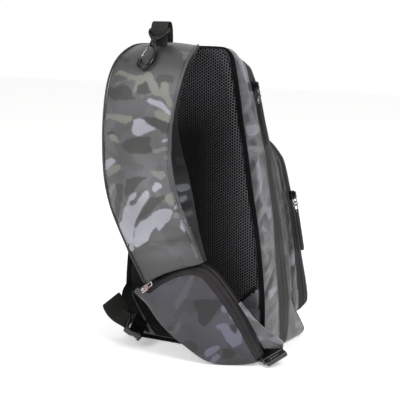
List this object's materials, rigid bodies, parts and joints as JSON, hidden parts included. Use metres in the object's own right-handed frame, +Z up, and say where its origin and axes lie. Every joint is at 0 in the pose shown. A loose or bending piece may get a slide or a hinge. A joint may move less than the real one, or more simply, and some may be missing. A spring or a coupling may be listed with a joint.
{
  "type": "fishing tackle sling bag",
  "caption": "Teardrop sling bag with padded mesh back, curved front pocket, wide shoulder strap ending in a zipped pouch, snap hook on a loop and side buckles.",
  "frame": {"origin": "on the floor, under the middle of the body's base panel", "axes": "+Z up; the padded back that lies on the wearer faces -Y; the front pocket faces +Y; +X is the side that carries the zip pullers"},
  "size_m": [0.2996, 0.2888, 0.4597],
  "materials": {
    "camouflage_cloth": "coated polyester in grey camouflage, satin sheen",
    "dark_camouflage_cloth": "coated polyester in dark grey camouflage",
    "mesh_cloth": "black hexagonal air mesh over foam",
    "binding_tape": "black woven binding tape",
    "piping": "thin pale grey piping",
    "zip_tape": "matte dark grey water-repellent zip tape",
    "webbing": "charcoal ribbed webbing",
    "black_metal": "black plated zinc",
    "steel": "bright plated steel",
    "puller_rubber": "matte black moulded strip",
    "black_plastic": "black acetal"
  },
  "bodies": {
    "bag": {"back_wall": "camouflage_cloth", "back_pad": "mesh_cloth", "back_binding": "binding_tape", "rear_gusset": "camouflage_cloth", "main_zipper": "zip_tape", "base_panel": "camouflage_cloth", "front_gusset": "camouflage_cloth", "front_wall": "camouflage_cloth", "pocket_gusset": "camouflage_cloth", "pocket_zipper": "zip_tape", "pocket_face": "camouflage_cloth", "strap_band": "camouflage_cloth", "strap_piping_right": "piping", "strap_piping_left": "piping", "pouch_front": "dark_camouflage_cloth", "pouch_zipper": "zip_tape", "pouch_gusset": "camouflage_cloth", "pouch_back": "mesh_cloth", "strap_tip": "camouflage_cloth", "top_loop": "webbing", "main_slider": "black_metal", "main_pull_ring": "black_metal", "main_pull_link": "black_metal", "main_lower_ring": "black_metal", "main_puller": "puller_rubber", "pocket_slider": "black_metal", "pocket_pull_link": "black_metal", "pocket_pull_loop": "black_metal", "pocket_pull_ring": "black_metal", "pocket_puller": "puller_rubber", "pouch_slider": "steel", "left_wing": "dark_camouflage_cloth", "left_webbing": "webbing", "left_buckle": "black_plastic", "right_wing": "dark_camouflage_cloth", "right_buckle_receiver": "black_plastic", "right_buckle_tongue": "black_plastic"},
    "eye": {"hook_eye": "black_metal"},
    "hook": {"hook_body": "black_metal"},
    "gate": {"hook_gate": "steel"},
    "pull_tab": {"pouch_pull_tab": "steel"}
  },
  "joints": [
    {"name": "hook_swing", "type": "hinge", "parent": "bag", "child": "eye", "pos_m": [-0.00296, -0.1436, 0.45149], "axis": [1, 0, 0], "range_deg": [-150, 0]},
    {"name": "hook_swivel", "type": "hinge", "parent": "eye", "child": "hook", "pos_m": [-0.00296, -0.15803, 0.43488], "axis": [0, 0.6561, 0.7547], "range_deg": [-8, 8]},
    {"name": "hook_gate", "type": "hinge", "parent": "hook", "child": "gate", "pos_m": [-0.00926, -0.16354, 0.42855], "axis": [0, 0.7547, -0.6561], "range_deg": [-22, 0], "stiffness_Nm_per_rad": 0.02, "springref_deg": 11.46},
    {"name": "pouch_tab_hinge", "type": "hinge", "parent": "bag", "child": "pull_tab", "pos_m": [-0.01076, -0.1789, 0.10589], "axis": [-0.5957, 0.2391, 0.7668], "range_deg": [-140, 0]}
  ]
}
